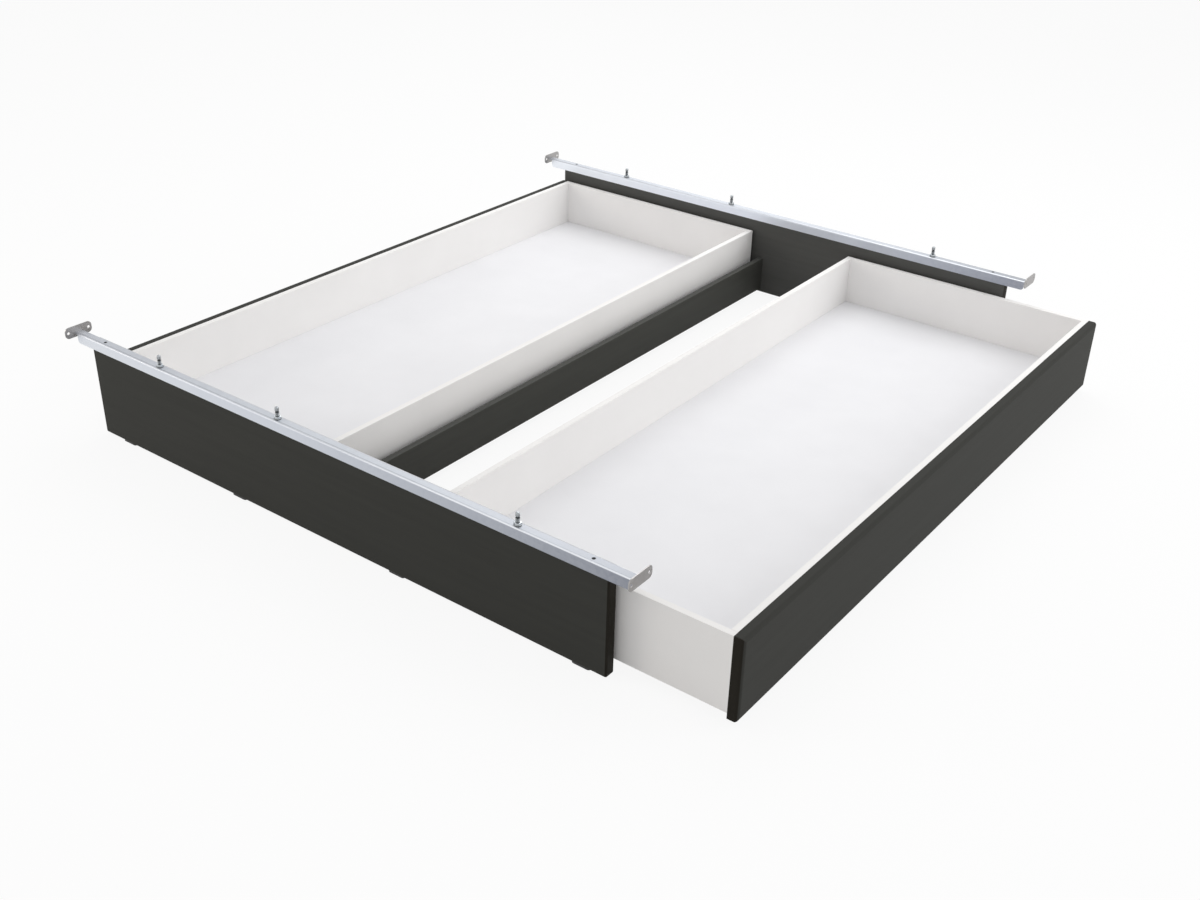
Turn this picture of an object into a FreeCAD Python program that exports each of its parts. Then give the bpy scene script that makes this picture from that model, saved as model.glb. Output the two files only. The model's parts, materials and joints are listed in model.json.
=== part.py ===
import FreeCAD, Part
import math
import os
from types import SimpleNamespace

import Sketcher

# Base of a storage bed that is fixed inside a bed frame by two steel cross rails.
# Two end panels stand on glides and carry the rails, a low board joins the panels,
# and two wide drawers roll on the floor between the panels, one to each side.
# X runs across the bed, Y from the foot to the head, and Z up from the floor.
# The left drawer is shut and the right drawer is pulled out by pull_out.

SIZES = {
    # Whole unit
    "unit_length": 1996,
    "rail_overhang": 68,
    "rail_top": 277,
    "pull_out": 290,
    "overrun": 1,
    "running_fit": 0.05,
    # End panels
    "panel_length": 1664,
    "panel_thickness": 28,
    "panel_edge": 5,
    # Glides under the panels
    "glide_length": 50,
    "glide_width": 22,
    "glide_height": 6,
    "glide_corner": 8,
    "glide_bevel": 1.5,
    "glide_peg_diameter": 8,
    "glide_peg_length": 14,
    # Cross rails, folded from sheet
    "rail_sheet": 2.5,
    "rail_depth": 22,
    "rail_height": 27,
    "rail_bend": 4,
    "flange_setback": 10,
    "flange_corner": 8,
    "fixing_line": 13,
    # End brackets of the rails
    "bracket_length": 78,
    "bracket_height": 30,
    "bracket_reach": 27,
    "bracket_rise": 17,
    "bracket_corner": 11,
    "bracket_hole": 8,
    "bracket_hole_margin": 9,
    "bracket_bend": 4,
    "tongue_length": 58,
    "tongue_start": 5,
    # Studs and nuts on the rails
    "stud_diameter": 10,
    "stud_rise": 31,
    "stud_tip": 3,
    "stud_neck_level": 18,
    "stud_neck": 3,
    "stud_neck_depth": 1.5,
    "stud_head_diameter": 14,
    "stud_head_height": 2.5,
    "stud_recess": 1,
    "nut_across": 15,
    "nut_height": 7,
    "nut_flange_diameter": 18,
    "nut_flange_height": 2,
    # Screws that hold the rails on the panels
    "rail_screw_diameter": 5,
    "rail_screw_length": 40,
    "rail_screw_sink": 2,
    # Board between the panels and its angles
    "centre_thickness": 18,
    "centre_bottom": 18,
    "centre_height": 108,
    "centre_edge": 1.5,
    "angle_leg": 30,
    "angle_height": 60,
    "angle_sheet": 2,
    "angle_hole_offset": 19,
    "angle_hole_pitch": 36,
    "angle_screw_diameter": 4,
    "angle_screw_length": 14,
    "angle_screw_head": 8,
    "angle_screw_head_height": 2.4,
    # Drawers
    "back_gap": 23,
    "drawer_top": 216,
    "side_gap": 12.5,
    "front_thickness": 25,
    "front_bottom": 15,
    "front_edge": 9,
    "board": 16,
    "board_edge": 1,
    "box_bottom": 29,
    "floor_top": 72,
    "floor_sheet": 8,
    "groove_depth": 6,
    "groove_play": 0.1,
    "floor_play": 0.5,
    "batten_width": 60,
    "batten_thickness": 16,
    # Dowels in the corners of the drawer boxes
    "dowel_diameter": 8,
    "dowel_in_side": 10,
    "dowel_in_wall": 24,
    "dowel_edge": 18,
    "dowel_chamfer": 1,
    "dowel_play": 0.5,
    # Screws that hold the dark fronts
    "front_screw_diameter": 4,
    "front_screw_length": 32,
    "front_screw_head": 8,
    "front_screw_head_height": 2.4,
    # Floor rollers
    "roller_diameter": 40,
    "roller_width": 20,
    "roller_bevel": 2,
    "roller_hub": 16,
    "roller_rim": 5.5,
    "roller_web": 9,
    "roller_play": 0.4,
    "roller_inset_front": 100,
    "roller_inset_back": 100,
    "roller_inset_side": 110,
    "axle_diameter": 6,
    "axle_head": 9,
    "axle_head_height": 1.5,
    # Folded housings that carry the rollers
    "housing_sheet": 2.5,
    "housing_length": 64,
    "housing_width": 56,
    "housing_corner": 5,
    "housing_bend": 2,
    "cheek_radius": 9,
    "cheek_top_width": 40,
    "housing_screw_pitch": 46,
    "housing_screw_line": 41,
    "housing_screw_diameter": 3.5,
    "housing_screw_length": 14,
    "housing_screw_head": 7,
    "housing_screw_head_height": 2,
}

# Share of a screw head's height that is bevelled off
HEAD_BEVEL_SHARE = 0.6
# Places along a panel and along a drawer's front, as shares of half its length from the middle
STUD_SHARES = (-0.679, -0.162, 0.709)
RAIL_SCREW_SHARES = (-0.944, 0.944)
GLIDE_SHARES = (-0.889, -0.367, 0.279, 0.916)
FRONT_SCREW_SHARES = (-0.75, -0.25, 0.25, 0.75)
HEX_CORNERS = 6
FULL_TURN = 360
HALF_TURN = 180
TOUCH = 1e-4

doc = FreeCAD.newDocument("storage_bed")
sheet = doc.addObject("Spreadsheet::Sheet", "sizes")
for row, (name, value) in enumerate(SIZES.items(), 1):
    sheet.set(f"A{row}", name)
    sheet.set(f"B{row}", str(value))
    sheet.setAlias(f"B{row}", name)
doc.recompute()


class Size:
    """A length: its value in millimetres, and the formula on the sheet that gives it."""

    def __init__(self, value, formula):
        self.value = value
        self.formula = formula

    def __add__(self, other):
        return Size(self.value + other.value, f"({self.formula} + {other.formula})")

    def __sub__(self, other):
        return Size(self.value - other.value, f"({self.formula} - {other.formula})")

    def __mul__(self, share):
        return Size(self.value * share, f"({self.formula} * {share!r})")

    def __truediv__(self, share):
        return Size(self.value / share, f"({self.formula} / {share!r})")

    def __neg__(self):
        return Size(-self.value, f"(-{self.formula})")


size = SimpleNamespace(**{name: Size(float(sheet.get(name)), f"sizes.{name}") for name in SIZES})
ZERO = Size(0.0, "0")

# The rails reach past the panels, and each drawer's back stays clear of the board in the middle
rail_half = size.panel_length / 2 + size.rail_overhang
drawer_depth = size.panel_length / 2 - size.centre_thickness / 2 - size.back_gap

# The unit's middle, set so that the origin is under the middle of the whole object at rest
foot_reach = size.unit_length / 2 + size.rail_sheet + size.bracket_reach
head_reach = (size.unit_length / 2 - size.panel_thickness - size.rail_sheet
              + size.bracket_length - size.bracket_reach)
unit_x = (rail_half - size.panel_length / 2 - size.pull_out) / 2
unit_y = (foot_reach - head_reach) / 2

# The face of each panel that looks towards the foot
PANEL_FACES = {
    "foot": unit_y - size.unit_length / 2,
    "head": unit_y + size.unit_length / 2 - size.panel_thickness,
}
panel_top = size.rail_top - size.rail_sheet
fixing_depth = size.fixing_line - size.rail_sheet
stud_places = [size.panel_length / 2 * share for share in STUD_SHARES]
rail_screw_places = [size.panel_length / 2 * share for share in RAIL_SCREW_SHARES]
glide_places = [size.panel_length / 2 * share for share in GLIDE_SHARES]
centre_middle = size.centre_bottom + size.centre_height / 2
angle_hole_heights = (centre_middle - size.angle_hole_pitch / 2, centre_middle + size.angle_hole_pitch / 2)

nodes = {}


def bind(thing, property_name, length):
    thing.setExpression(property_name, length.formula)


def new_body(label):
    body = doc.addObject("PartDesign::Body", label)
    body.Label = label
    return body


def place(thing, x, y, z, turn=0):
    """Turn a piece about the vertical and move it to its place."""
    thing.Placement = FreeCAD.Placement(
        FreeCAD.Vector(x.value, y.value, z.value), FreeCAD.Rotation(FreeCAD.Vector(0, 0, 1), turn))
    bind(thing, "Placement.Base.x", x)
    bind(thing, "Placement.Base.y", y)
    bind(thing, "Placement.Base.z", z)


def keep(thing, x=ZERO, y=ZERO, z=ZERO, turn=0):
    """Place a finished piece and list it as a node under its label."""
    place(thing, x, y, z, turn)
    nodes[thing.Label] = thing


# Outlines: each function adds one closed loop to a sketch

def pin(drawing, geometry, point, u, v):
    for kind, length in (("DistanceX", u), ("DistanceY", v)):
        index = drawing.addConstraint(Sketcher.Constraint(kind, -1, 1, geometry, point, length.value))
        bind(drawing, f"Constraints[{index}]", length)


def set_radius(drawing, geometry, radius):
    index = drawing.addConstraint(Sketcher.Constraint("Radius", geometry, radius.value))
    bind(drawing, f"Constraints[{index}]", radius)


def point_at(u, v):
    return FreeCAD.Vector(u.value, v.value, 0)


def polygon(drawing, corners):
    first = drawing.GeometryCount
    count = len(corners)
    for index, corner in enumerate(corners):
        following = corners[(index + 1) % count]
        drawing.addGeometry(Part.LineSegment(point_at(*corner), point_at(*following)))
    for index, corner in enumerate(corners):
        following = first + (index + 1) % count
        drawing.addConstraint(Sketcher.Constraint("Coincident", first + index, 2, following, 1))
        pin(drawing, first + index, 1, *corner)


def rectangle(drawing, low_u, high_u, low_v, high_v):
    polygon(drawing, [(low_u, low_v), (high_u, low_v), (high_u, high_v), (low_u, high_v)])


def circle(drawing, u, v, radius):
    geometry = drawing.addGeometry(
        Part.Circle(point_at(u, v), FreeCAD.Vector(0, 0, 1), radius.value))
    set_radius(drawing, geometry, radius)
    pin(drawing, geometry, 3, u, v)


def arc(drawing, u, v, radius, start, end):
    whole = Part.Circle(point_at(u, v), FreeCAD.Vector(0, 0, 1), radius.value)
    geometry = drawing.addGeometry(Part.ArcOfCircle(whole, start, end))
    set_radius(drawing, geometry, radius)
    pin(drawing, geometry, 3, u, v)
    return geometry


def tapered_ear(drawing, radius, top_half, top):
    """A rounded end about the origin whose sides widen to a straight top edge."""
    left_top = (-top_half, top)
    right_top = (top_half, top)
    left = drawing.addGeometry(Part.LineSegment(point_at(*left_top), point_at(-radius, ZERO)))
    end = arc(drawing, ZERO, ZERO, radius, math.pi, 2 * math.pi)
    right = drawing.addGeometry(Part.LineSegment(point_at(radius, ZERO), point_at(*right_top)))
    lid = drawing.addGeometry(Part.LineSegment(point_at(*right_top), point_at(*left_top)))
    drawing.addConstraint(Sketcher.Constraint("Tangent", left, 2, end, 1))
    drawing.addConstraint(Sketcher.Constraint("Tangent", end, 2, right, 1))
    drawing.addConstraint(Sketcher.Constraint("Coincident", right, 2, lid, 1))
    drawing.addConstraint(Sketcher.Constraint("Coincident", lid, 2, left, 1))
    pin(drawing, left, 1, *left_top)
    pin(drawing, right, 2, *right_top)


# Features: solids and cuts between two levels along the axis across the sketch's plane

def sketch(body, plane, level):
    drawing = body.newObject("Sketcher::SketchObject", "outline")
    support = next(item for item in body.Origin.OriginFeatures if item.Role == f"{plane}_Plane")
    drawing.AttachmentSupport = [(support, "")]
    drawing.MapMode = "FlatFace"
    bind(drawing, "AttachmentOffset.Base.z", -level if plane == "XZ" else level)
    return drawing


def feature(body, kind, plane, low, high, loop, *measures):
    """A Pad or Pocket of one loop. The normal of the XZ plane points to -Y, so its levels swap."""
    from_low = (kind == "Pad") == (plane != "XZ")
    drawing = sketch(body, plane, low if from_low else high)
    loop(drawing, *measures)
    step = body.newObject(f"PartDesign::{kind}", kind.lower())
    step.Profile = drawing
    bind(step, "Length", high - low)
    return step


def pad(body, plane, low, high, loop, *measures):
    return feature(body, "Pad", plane, low, high, loop, *measures)


def pocket(body, plane, low, high, loop, *measures):
    return feature(body, "Pocket", plane, low, high, loop, *measures)


def drill(body, plane, low, high, centres, radius):
    """Round holes of one depth, all in one sketch."""
    def loops(drawing):
        for u, v in centres:
            circle(drawing, u, v, radius)
    return pocket(body, plane, low, high, loops)


def level_is(axis, level):
    """A test for edges that lie wholly in one plane across an axis."""
    def test(edge):
        box = edge.BoundBox
        ends = (getattr(box, f"{axis}Min"), getattr(box, f"{axis}Max"))
        return all(abs(end - level.value) < TOUCH for end in ends)
    return test


def runs_along(axis):
    """A test for straight edges parallel to an axis."""
    def test(edge):
        box = edge.BoundBox
        return getattr(box, f"{axis}Length") > edge.Length - TOUCH
    return test


def dress(body, kind, measure, length, tests):
    """Round or bevel the edges of the body's last shape that pass every test."""
    doc.recompute()
    base = body.Tip
    edges = [f"Edge{index}" for index, edge in enumerate(base.Shape.Edges, 1)
             if all(test(edge) for test in tests)]
    if not edges:
        raise RuntimeError(f"{body.Label}: no edge to dress")
    step = body.newObject(f"PartDesign::{kind}", kind.lower())
    step.Base = (base, edges)
    bind(step, measure, length)


def round_edges(body, radius, *tests):
    dress(body, "Fillet", "Radius", radius, tests)


def bevel_edges(body, width, *tests):
    dress(body, "Chamfer", "Size", width, tests)


def turned(label, plane, profile):
    """A body turned about the vertical axis of its profile, whose points are (radius, height)."""
    body = new_body(label)
    drawing = sketch(body, plane, ZERO)
    polygon(drawing, profile)
    step = body.newObject("PartDesign::Revolution", "turning")
    step.Profile = drawing
    step.ReferenceAxis = (drawing, ["V_Axis"])
    step.Angle = FULL_TURN
    return body


def block(label, low_x, high_x, low_y, high_y, low_z, high_z):
    body = new_body(label)
    pad(body, "XY", low_z, high_z, rectangle, low_x, high_x, low_y, high_y)
    return body


UP = FreeCAD.Vector(0, 0, 1)
DOWN = FreeCAD.Vector(0, 0, -1)
LEFT = FreeCAD.Vector(-1, 0, 0)
FOOTWARD = FreeCAD.Vector(0, -1, 0)
HEADWARD = FreeCAD.Vector(0, 1, 0)


def group(label, master, spots):
    """One node of separate copies: each spot is (x, y, z, direction that the copy's top points to)."""
    doc.recompute()
    copies = []
    for x, y, z, heading in spots:
        copy = master.Shape.copy()
        copy.Placement = FreeCAD.Placement(
            FreeCAD.Vector(x.value, y.value, z.value), FreeCAD.Rotation(UP, heading))
        copies.append(copy)
    node = doc.addObject("Part::Feature", label)
    node.Label = label
    node.Shape = Part.makeCompound(copies)
    return node


# Small parts that the groups repeat

def pan_screw(label, diameter, length, head, head_height):
    """A screw with its head's seat at the origin, pointing down."""
    profile = [(ZERO, head_height), (head / 2, head_height), (head / 2, ZERO), (diameter / 2, ZERO),
               (diameter / 2, -length), (ZERO, -length)]
    body = turned(label, "XZ", profile)
    bevel_edges(body, head_height * HEAD_BEVEL_SHARE, level_is("Z", head_height))
    return body


def sunk_screw():
    """A countersunk screw with the top of its head at the origin, pointing down."""
    shank = size.rail_screw_diameter / 2
    head = shank + size.rail_screw_sink
    profile = [(ZERO, ZERO), (head, ZERO), (shank, -size.rail_screw_sink),
               (shank, -size.rail_screw_length), (ZERO, -size.rail_screw_length)]
    return turned("rail_screw", "XZ", profile)


def stud():
    """A stud pressed through the rail from below; a turned neck parts its thread from the free end."""
    radius = size.stud_diameter / 2
    head = size.stud_head_diameter / 2
    seat = -size.rail_sheet
    neck_radius = radius - size.stud_neck_depth
    neck_low = size.stud_neck_level
    neck_top = neck_low + size.stud_neck
    profile = [(ZERO, seat - size.stud_head_height), (head, seat - size.stud_head_height), (head, seat),
               (radius, seat), (radius, neck_low), (neck_radius, neck_low),
               (neck_radius, neck_top), (radius, neck_top), (radius, size.stud_rise), (ZERO, size.stud_rise)]
    body = turned("stud", "XZ", profile)
    round_edges(body, size.stud_tip, level_is("Z", size.stud_rise))
    return body


def nut():
    """A hexagon nut with a round flange, standing on the origin."""
    corner = size.nut_across / math.sqrt(3)
    turns = [math.radians(FULL_TURN * index / HEX_CORNERS) for index in range(HEX_CORNERS)]
    body = new_body("nut")
    hexagon = [(corner * math.cos(turn), corner * math.sin(turn)) for turn in turns]
    pad(body, "XY", ZERO, size.nut_height, polygon, hexagon)
    pad(body, "XY", ZERO, size.nut_flange_height, circle, ZERO, ZERO, size.nut_flange_diameter / 2)
    drill(body, "XY", ZERO, size.nut_height, [(ZERO, ZERO)], size.stud_diameter / 2 + size.running_fit)
    return body


def glide():
    """A flat glide with a peg on top, standing on the floor."""
    half_length = size.glide_length / 2
    half_width = size.glide_width / 2
    body = block("glide", -half_length, half_length, -half_width, half_width, ZERO, size.glide_height)
    round_edges(body, size.glide_corner, runs_along("Z"))
    bevel_edges(body, size.glide_bevel, level_is("Z", ZERO))
    peg_top = size.glide_height + size.glide_peg_length
    pad(body, "XY", size.glide_height, peg_top, circle, ZERO, ZERO, size.glide_peg_diameter / 2)
    return body


def dowel():
    """A dowel along Z with the joint between the two boards at the origin."""
    radius = size.dowel_diameter / 2
    body = new_body("dowel")
    pad(body, "XY", -size.dowel_in_wall, size.dowel_in_side, circle, ZERO, ZERO, radius)
    for end in (-size.dowel_in_wall, size.dowel_in_side):
        bevel_edges(body, size.dowel_chamfer, level_is("Z", end))
    return body


# The fixed frame

def end_panel(end):
    """An end panel from its top edge down, with its foot-side face at Y zero."""
    half = size.panel_length / 2
    height = panel_top - size.glide_height
    body = block(f"{end}_end_panel", -half, half, ZERO, size.panel_thickness, -height, ZERO)
    round_edges(body, size.panel_edge)
    recess_radius = (size.stud_head_diameter + size.stud_recess) / 2
    recess_depth = size.stud_head_height + size.stud_recess
    drill(body, "XY", -recess_depth, ZERO, [(x, fixing_depth) for x in stud_places], recess_radius)
    screw_depth = size.rail_screw_length - size.rail_sheet + size.overrun
    screw_radius = size.rail_screw_diameter / 2 + size.running_fit
    drill(body, "XY", -screw_depth, ZERO, [(x, fixing_depth) for x in rail_screw_places], screw_radius)
    peg_radius = size.glide_peg_diameter / 2 + size.running_fit
    peg_depth = size.glide_peg_length + size.overrun
    pegs = [(x, size.panel_thickness / 2) for x in glide_places]
    drill(body, "XY", -height, peg_depth - height, pegs, peg_radius)
    angle_depth = size.angle_screw_length - size.angle_sheet + size.overrun
    inner_low = size.panel_thickness - angle_depth if end == "foot" else ZERO
    angle_x = -size.centre_thickness / 2 - size.angle_hole_offset
    angle_holes = [(angle_x, height_z - panel_top) for height_z in angle_hole_heights]
    angle_radius = size.angle_screw_diameter / 2 + size.running_fit
    drill(body, "XZ", inner_low, inner_low + angle_depth, angle_holes, angle_radius)
    keep(body, unit_x, PANEL_FACES[end], panel_top)


def cross_rail(end):
    """A folded angle rail with its front face at Y zero and the top of its web at Z zero."""
    half = rail_half - size.rail_sheet
    sheet_low = -size.rail_sheet
    body = new_body(f"{end}_cross_rail")
    section = [(ZERO, -size.rail_height), (size.rail_sheet, -size.rail_height), (size.rail_sheet, sheet_low),
               (size.rail_depth, sheet_low), (size.rail_depth, ZERO), (ZERO, ZERO)]
    pad(body, "YZ", -half, half, polygon, section)
    round_edges(body, size.rail_bend, runs_along("X"), level_is("Y", ZERO), level_is("Z", ZERO))
    inner_bend = size.rail_bend - size.rail_sheet
    round_edges(body, inner_bend, runs_along("X"), level_is("Y", size.rail_sheet), level_is("Z", sheet_low))
    flange_end = half - size.flange_setback
    flange_low = -size.rail_height - size.overrun
    for low, high in ((flange_end, half + size.overrun), (-half - size.overrun, -flange_end)):
        pocket(body, "XZ", -size.overrun, size.rail_bend, rectangle, low, high, flange_low, -size.rail_bend)
    for flange_x in (flange_end, -flange_end):
        round_edges(body, size.flange_corner, runs_along("Y"), level_is("X", flange_x),
                    level_is("Z", -size.rail_height))
    stud_radius = size.stud_diameter / 2 + size.running_fit
    drill(body, "XY", sheet_low, ZERO, [(x, size.fixing_line) for x in stud_places], stud_radius)
    screw_radius = size.rail_screw_diameter / 2 + size.running_fit
    drill(body, "XY", sheet_low, ZERO, [(x, size.fixing_line) for x in rail_screw_places], screw_radius)

    def rim_of_screw_hole(edge):
        return abs(edge.BoundBox.XLength - (screw_radius * 2).value) < TOUCH
    bevel_edges(body, size.rail_screw_sink, level_is("Z", ZERO), rim_of_screw_hole)
    keep(body, unit_x, PANEL_FACES[end] - size.rail_sheet, size.rail_top)


def end_bracket(end, side, outward):
    """An upright plate at the rail's end, folded from a tongue that lies under the web."""
    body = new_body(f"{end}_{side}_end_bracket")
    low_y = -size.bracket_reach
    high_y = size.bracket_length - size.bracket_reach
    low_z = size.bracket_rise - size.bracket_height
    inner_x = -size.rail_sheet * outward
    plate_low, plate_high = (inner_x, ZERO) if outward > 0 else (ZERO, inner_x)
    pad(body, "YZ", plate_low, plate_high, rectangle, low_y, high_y, low_z, size.bracket_rise)
    round_edges(body, size.bracket_corner, runs_along("X"))
    tongue_x = -size.tongue_length * outward
    tongue_low = -size.rail_sheet * 2
    pad(body, "XY", tongue_low, -size.rail_sheet, rectangle, tongue_x, inner_x,
        size.tongue_start, size.rail_depth)
    round_edges(body, size.bracket_bend, level_is("X", inner_x), level_is("Z", tongue_low))
    hole_z = size.bracket_rise - size.bracket_height / 2
    holes = [(low_y + size.bracket_hole_margin, hole_z), (high_y - size.bracket_hole_margin, hole_z)]
    drill(body, "YZ", plate_low, plate_high, holes, size.bracket_hole / 2)
    keep(body, unit_x + rail_half * outward, PANEL_FACES[end] - size.rail_sheet, size.rail_top)


def rail_fixings(end):
    """Studs, nuts and screws on one rail, and the glides under its panel."""
    line_y = PANEL_FACES[end] + fixing_depth
    stud_spots = [(unit_x + x, line_y, size.rail_top, UP) for x in stud_places]
    keep(group(f"{end}_rail_studs", stud_master, stud_spots))
    keep(group(f"{end}_rail_nuts", nut_master, stud_spots))
    screw_spots = [(unit_x + x, line_y, size.rail_top, UP) for x in rail_screw_places]
    keep(group(f"{end}_rail_screws", rail_screw_master, screw_spots))
    middle_y = PANEL_FACES[end] + size.panel_thickness / 2
    keep(group(f"{end}_panel_glides", glide_master, [(unit_x + x, middle_y, ZERO, UP) for x in glide_places]))


def centre_board():
    """The low board between the panels, drilled on its left face for the angles' screws."""
    half_thickness = size.centre_thickness / 2
    half_length = size.unit_length / 2 - size.panel_thickness
    body = block("centre_board", -half_thickness, half_thickness, -half_length, half_length,
                 size.centre_bottom, size.centre_bottom + size.centre_height)
    round_edges(body, size.centre_edge, runs_along("Y"))
    hole_depth = size.angle_screw_length - size.angle_sheet + size.overrun
    hole_y = half_length - size.angle_hole_offset
    holes = [(y, z) for y in (-hole_y, hole_y) for z in angle_hole_heights]
    drill(body, "YZ", -half_thickness, hole_depth - half_thickness, holes,
          size.angle_screw_diameter / 2 + size.running_fit)
    keep(body, unit_x, unit_y)


def centre_angle(end, inward):
    """An angle in the corner of the board and a panel; inward is the way from that panel to the board."""
    body = new_body(f"{end}_centre_angle")
    leg_y = size.angle_leg * inward
    sheet_y = size.angle_sheet * inward
    section = [(ZERO, ZERO), (ZERO, leg_y), (-size.angle_sheet, leg_y), (-size.angle_sheet, sheet_y),
               (-size.angle_leg, sheet_y), (-size.angle_leg, ZERO)]
    low_z = centre_middle - size.angle_height / 2
    pad(body, "XY", low_z, low_z + size.angle_height, polygon, section)
    hole_radius = size.angle_screw_diameter / 2 + size.running_fit
    board_holes = [(size.angle_hole_offset * inward, z) for z in angle_hole_heights]
    drill(body, "YZ", -size.angle_sheet, ZERO, board_holes, hole_radius)
    panel_holes = [(-size.angle_hole_offset, z) for z in angle_hole_heights]
    low_y, high_y = (ZERO, sheet_y) if inward > 0 else (sheet_y, ZERO)
    drill(body, "XZ", low_y, high_y, panel_holes, hole_radius)
    corner_y = unit_y - (size.unit_length / 2 - size.panel_thickness) * inward
    keep(body, unit_x - size.centre_thickness / 2, corner_y)


def centre_angle_screws():
    spots = []
    board_x = unit_x - size.centre_thickness / 2
    for inward, heading in ((1, HEADWARD), (-1, FOOTWARD)):
        corner_y = unit_y - (size.unit_length / 2 - size.panel_thickness) * inward
        for z in angle_hole_heights:
            spots.append((board_x - size.angle_sheet, corner_y + size.angle_hole_offset * inward, z, LEFT))
            spots.append((board_x - size.angle_hole_offset, corner_y + size.angle_sheet * inward, z, heading))
    keep(group("centre_angle_screws", angle_screw_master, spots))


# Drawers, in a frame of their own: X zero at the front's outer face, the box behind it, Y zero in the middle

half_length = size.unit_length / 2 - size.panel_thickness - size.side_gap
inner_half = half_length - size.board
box_front_x = -size.front_thickness
box_back_x = -drawer_depth
inner_front_x = box_front_x - size.board
inner_back_x = box_back_x + size.board
floor_low = size.floor_top - size.floor_sheet
batten_low = floor_low - size.batten_thickness
groove_low = floor_low - size.groove_play
groove_high = size.floor_top + size.groove_play
dowel_high = size.drawer_top - size.dowel_edge
dowel_heights = (size.box_bottom + size.dowel_edge, (size.floor_top + dowel_high) / 2, dowel_high)
dowel_radius = size.dowel_diameter / 2 + size.running_fit
front_screw_z = (size.box_bottom + floor_low) / 2
front_screw_places = [half_length * share for share in FRONT_SCREW_SHARES]
roller_radius = size.roller_diameter / 2
roller_line = inner_half - size.roller_inset_side
roller_columns = {"front": inner_front_x - size.roller_inset_front, "back": inner_back_x + size.roller_inset_back}
housing_top = batten_low - roller_radius
housing_screw_spots = [(size.housing_screw_pitch / 2 * along, size.housing_screw_line / 2 * across)
                       for along in (-1, 1) for across in (-1, 1)]

DRAWERS = {
    "left": SimpleNamespace(x=unit_x - size.panel_length / 2, turn=HALF_TURN, way=-1),
    "right": SimpleNamespace(x=unit_x + size.panel_length / 2 + size.pull_out, turn=0, way=1),
}


def keep_in_drawer(thing, drawer):
    keep(thing, drawer.x, unit_y, ZERO, drawer.turn)


def end_name(side, drawer):
    """The bed's end that a drawer's own -Y or +Y side faces."""
    return "foot" if side * drawer.way < 0 else "head"


def drawer_front(hand, drawer):
    body = block(f"{hand}_drawer_front", box_front_x, ZERO, -half_length, half_length,
                 size.front_bottom, size.drawer_top)
    round_edges(body, size.front_edge, level_is("X", ZERO))
    screw_end = size.front_screw_length - size.board + size.overrun
    drill(body, "YZ", box_front_x, box_front_x + screw_end, [(y, front_screw_z) for y in front_screw_places],
          size.front_screw_diameter / 2 + size.running_fit)
    keep_in_drawer(body, drawer)


def box_wall(hand, drawer, name, low_x, groove_x):
    """The front or back wall of the box, between the sides, grooved for the bottom."""
    high_x = low_x + size.board
    body = block(f"{hand}_drawer_box_{name}", low_x, high_x, -inner_half, inner_half,
                 size.box_bottom, size.drawer_top)
    round_edges(body, size.board_edge, runs_along("Y"), level_is("Z", size.drawer_top))
    pocket(body, "XZ", -inner_half, inner_half, rectangle, groove_x, groove_x + size.groove_depth,
           groove_low, groove_high)
    spots = [(low_x + size.board / 2, z) for z in dowel_heights]
    depth = size.dowel_in_wall + size.dowel_play
    drill(body, "XZ", -inner_half, depth - inner_half, spots, dowel_radius)
    drill(body, "XZ", inner_half - depth, inner_half, spots, dowel_radius)
    if name == "front":
        drill(body, "YZ", low_x, high_x, [(y, front_screw_z) for y in front_screw_places],
              size.front_screw_diameter / 2 + size.running_fit)
    keep_in_drawer(body, drawer)


def box_side(hand, drawer, side):
    """A side of the box, which covers the ends of its front and back walls."""
    inner_y = inner_half * side
    outer_y = half_length * side
    groove_y = (inner_half + size.groove_depth) * side
    low_y, high_y = (inner_y, outer_y) if side > 0 else (outer_y, inner_y)
    low_groove, high_groove = (inner_y, groove_y) if side > 0 else (groove_y, inner_y)
    body = block(f"{hand}_drawer_{end_name(side, drawer)}_side", box_back_x, box_front_x, low_y, high_y,
                 size.box_bottom, size.drawer_top)
    round_edges(body, size.board_edge, runs_along("X"), level_is("Z", size.drawer_top))
    pocket(body, "XZ", low_groove, high_groove, rectangle, inner_back_x - size.groove_depth,
           inner_front_x + size.groove_depth, groove_low, groove_high)
    depth = size.dowel_in_side + size.dowel_play
    low_hole, high_hole = (inner_y, inner_y + depth) if side > 0 else (inner_y - depth, inner_y)
    spots = [(x, z) for x in (box_back_x + size.board / 2, box_front_x - size.board / 2) for z in dowel_heights]
    drill(body, "XZ", low_hole, high_hole, spots, dowel_radius)
    keep_in_drawer(body, drawer)


def drawer_bottom(hand, drawer):
    tongue = size.groove_depth - size.floor_play
    body = block(f"{hand}_drawer_bottom", inner_back_x - tongue, inner_front_x + tongue,
                 -inner_half - tongue, inner_half + tongue, floor_low, size.floor_top)
    keep_in_drawer(body, drawer)


def battens(hand, drawer):
    """Battens under the bottom: the outer two carry the rollers, the middle one stiffens the bottom."""
    half_width = size.batten_width / 2
    for side in (-1, 0, 1):
        middle_y = roller_line * side
        name = end_name(side, drawer) if side else "centre"
        body = block(f"{hand}_drawer_{name}_batten", inner_back_x, inner_front_x,
                     middle_y - half_width, middle_y + half_width, batten_low, floor_low)
        if side:
            holes = [(column + x, middle_y + y) for column in roller_columns.values()
                     for x, y in housing_screw_spots]
            depth = size.housing_screw_length - size.housing_sheet + size.overrun
            drill(body, "XY", batten_low, batten_low + depth, holes,
                  size.housing_screw_diameter / 2 + size.running_fit)
        keep_in_drawer(body, drawer)


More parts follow.
